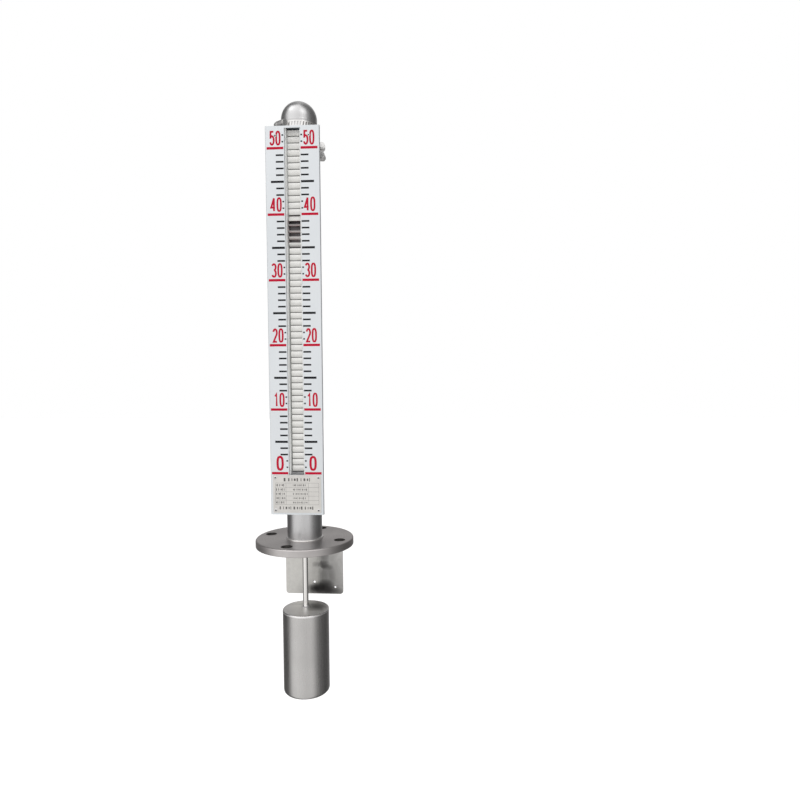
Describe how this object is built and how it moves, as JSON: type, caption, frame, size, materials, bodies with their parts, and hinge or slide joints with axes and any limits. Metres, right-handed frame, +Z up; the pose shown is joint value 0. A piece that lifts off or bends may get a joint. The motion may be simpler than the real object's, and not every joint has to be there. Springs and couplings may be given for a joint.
{
  "type": "magnetic level gauge",
  "caption": "Top-mounted magnetic level gauge: a float on a rod lifts magnets inside a flanged standpipe, which turn the flaps beside a clamped scale.",
  "frame": {"origin": "centre of the flange's underside, on the standpipe's axis", "axes": "+Z runs up the standpipe, -Y is the front that the scale faces, +X is to the right seen from the front"},
  "size_m": [0.16, 0.16, 0.9615],
  "materials": {
    "stainless": "satin stainless",
    "flange_steel": "turned stainless",
    "weld": "weld bead",
    "bush_brass": "turned",
    "nut_steel": "bright",
    "bracket_steel": "stained",
    "channel": "drawn",
    "window": "clear",
    "rail": "moulded",
    "plug_black": "moulded",
    "plug_grey": "moulded",
    "scale_plate": "satin",
    "nameplate": "satin",
    "rivet": "bright",
    "screw": "bright zinc",
    "clamp": "rolled",
    "saddle": "milled",
    "flap": "white enamel",
    "float_steel": "satin stainless",
    "carrier": "turned",
    "magnet": "ferrite"
  },
  "bodies": {
    "gauge": {"standpipe": "stainless", "dome_cap": "stainless", "mounting_flange": "flange_steel", "tube_weld": "weld", "cap_weld": "weld", "guide_bush": "bush_brass", "guide_locknut": "nut_steel", "support_bracket": "bracket_steel", "indicator_channel": "channel", "window": "window", "left_pivot_rail": "rail", "right_pivot_rail": "rail", "top_end_plug": "plug_black", "bottom_end_plug": "plug_grey", "scale_plate": "scale_plate", "nameplate": "nameplate", "nameplate_rivets": "rivet", "saddle_rivets": "rivet", "scale_screws": "screw", "clamp_screws": "screw", "clamp_bands": "clamp", "clamp_housings": "clamp", "upper_saddle": "saddle", "lower_saddle": "saddle", "lower_flaps": "flap"},
    "float": {"float_rod": "float_steel", "float_shell": "float_steel", "float_top": "float_steel", "float_bottom": "float_steel", "float_boss": "float_steel", "magnet_carrier": "carrier", "float_magnets": "magnet", "magnet_cap": "carrier", "rod_locknuts": "nut_steel"},
    "flap_27_body": {"flap_27": "flap"},
    "flap_28_body": {"flap_28": "flap"},
    "flap_29_body": {"flap_29": "flap"},
    "flap_30_body": {"flap_30": "flap"},
    "flap_31_body": {"flap_31": "flap"},
    "flap_32_body": {"flap_32": "flap"},
    "flap_33_body": {"flap_33": "flap"},
    "flap_34_body": {"flap_34": "flap"},
    "flap_35_body": {"flap_35": "flap"},
    "flap_36_body": {"flap_36": "flap"},
    "flap_37_body": {"flap_37": "flap"},
    "flap_38_body": {"flap_38": "flap"},
    "flap_39_body": {"flap_39": "flap"},
    "flap_40_body": {"flap_40": "flap"},
    "flap_41_body": {"flap_41": "flap"},
    "flap_42_body": {"flap_42": "flap"},
    "flap_43_body": {"flap_43": "flap"},
    "flap_44_body": {"flap_44": "flap"},
    "flap_45_body": {"flap_45": "flap"},
    "flap_46_body": {"flap_46": "flap"},
    "flap_47_body": {"flap_47": "flap"},
    "flap_48_body": {"flap_48": "flap"},
    "flap_49_body": {"flap_49": "flap"},
    "flap_50_body": {"flap_50": "flap"},
    "flap_51_body": {"flap_51": "flap"},
    "flap_52_body": {"flap_52": "flap"}
  },
  "joints": [
    {"name": "float_lift", "type": "slide", "parent": "gauge", "child": "float", "axis": [0, 0, 1], "range_m": [-0.46, 0.086]},
    {"name": "flap_27_turn", "type": "hinge", "parent": "gauge", "child": "flap_27_body", "pos_m": [0, -0.0393, 0.4026], "axis": [1, 0, 0], "range_deg": [0, 180]},
    {"name": "flap_28_turn", "type": "hinge", "parent": "gauge", "child": "flap_28_body", "pos_m": [0, -0.0393, 0.4126], "axis": [1, 0, 0], "range_deg": [0, 180]},
    {"name": "flap_29_turn", "type": "hinge", "parent": "gauge", "child": "flap_29_body", "pos_m": [0, -0.0393, 0.4226], "axis": [1, 0, 0], "range_deg": [0, 180]},
    {"name": "flap_30_turn", "type": "hinge", "parent": "gauge", "child": "flap_30_body", "pos_m": [0, -0.0393, 0.4326], "axis": [1, 0, 0], "range_deg": [0, 180]},
    {"name": "flap_31_turn", "type": "hinge", "parent": "gauge", "child": "flap_31_body", "pos_m": [0, -0.0393, 0.4426], "axis": [1, 0, 0], "range_deg": [0, 180]},
    {"name": "flap_32_turn", "type": "hinge", "parent": "gauge", "child": "flap_32_body", "pos_m": [0, -0.0393, 0.4526], "axis": [1, 0, 0], "range_deg": [0, 180]},
    {"name": "flap_33_turn", "type": "hinge", "parent": "gauge", "child": "flap_33_body", "pos_m": [0, -0.0393, 0.4626], "axis": [1, 0, 0], "range_deg": [0, 180]},
    {"name": "flap_34_turn", "type": "hinge", "parent": "gauge", "child": "flap_34_body", "pos_m": [0, -0.0393, 0.4726], "axis": [1, 0, 0], "range_deg": [0, 180]},
    {"name": "flap_35_turn", "type": "hinge", "parent": "gauge", "child": "flap_35_body", "pos_m": [0, -0.0393, 0.4826], "axis": [1, 0, 0], "range_deg": [-52, 128]},
    {"name": "flap_36_turn", "type": "hinge", "parent": "gauge", "child": "flap_36_body", "pos_m": [0, -0.0393, 0.4926], "axis": [1, 0, 0], "range_deg": [-66, 114]},
    {"name": "flap_37_turn", "type": "hinge", "parent": "gauge", "child": "flap_37_body", "pos_m": [0, -0.0393, 0.5026], "axis": [1, 0, 0], "range_deg": [-80, 100]},
    {"name": "flap_38_turn", "type": "hinge", "parent": "gauge", "child": "flap_38_body", "pos_m": [0, -0.0393, 0.5126], "axis": [1, 0, 0], "range_deg": [-88, 92]},
    {"name": "flap_39_turn", "type": "hinge", "parent": "gauge", "child": "flap_39_body", "pos_m": [0, -0.0393, 0.5226], "axis": [1, 0, 0], "range_deg": [-150, 30]},
    {"name": "flap_40_turn", "type": "hinge", "parent": "gauge", "child": "flap_40_body", "pos_m": [0, -0.0393, 0.5326], "axis": [1, 0, 0], "range_deg": [0, 180]},
    {"name": "flap_41_turn", "type": "hinge", "parent": "gauge", "child": "flap_41_body", "pos_m": [0, -0.0393, 0.5426], "axis": [1, 0, 0], "range_deg": [0, 180]},
    {"name": "flap_42_turn", "type": "hinge", "parent": "gauge", "child": "flap_42_body", "pos_m": [0, -0.0393, 0.5526], "axis": [1, 0, 0], "range_deg": [0, 180]},
    {"name": "flap_43_turn", "type": "hinge", "parent": "gauge", "child": "flap_43_body", "pos_m": [0, -0.0393, 0.5626], "axis": [1, 0, 0], "range_deg": [0, 180]},
    {"name": "flap_44_turn", "type": "hinge", "parent": "gauge", "child": "flap_44_body", "pos_m": [0, -0.0393, 0.5726], "axis": [1, 0, 0], "range_deg": [0, 180]},
    {"name": "flap_45_turn", "type": "hinge", "parent": "gauge", "child": "flap_45_body", "pos_m": [0, -0.0393, 0.5826], "axis": [1, 0, 0], "range_deg": [0, 180]},
    {"name": "flap_46_turn", "type": "hinge", "parent": "gauge", "child": "flap_46_body", "pos_m": [0, -0.0393, 0.5926], "axis": [1, 0, 0], "range_deg": [0, 180]},
    {"name": "flap_47_turn", "type": "hinge", "parent": "gauge", "child": "flap_47_body", "pos_m": [0, -0.0393, 0.6026], "axis": [1, 0, 0], "range_deg": [0, 180]},
    {"name": "flap_48_turn", "type": "hinge", "parent": "gauge", "child": "flap_48_body", "pos_m": [0, -0.0393, 0.6126], "axis": [1, 0, 0], "range_deg": [0, 180]},
    {"name": "flap_49_turn", "type": "hinge", "parent": "gauge", "child": "flap_49_body", "pos_m": [0, -0.0393, 0.6226], "axis": [1, 0, 0], "range_deg": [0, 180]},
    {"name": "flap_50_turn", "type": "hinge", "parent": "gauge", "child": "flap_50_body", "pos_m": [0, -0.0393, 0.6326], "axis": [1, 0, 0], "range_deg": [0, 180]},
    {"name": "flap_51_turn", "type": "hinge", "parent": "gauge", "child": "flap_51_body", "pos_m": [0, -0.0393, 0.6426], "axis": [1, 0, 0], "range_deg": [0, 180]},
    {"name": "flap_52_turn", "type": "hinge", "parent": "gauge", "child": "flap_52_body", "pos_m": [0, -0.0393, 0.6526], "axis": [1, 0, 0], "range_deg": [0, 180]}
  ]
}
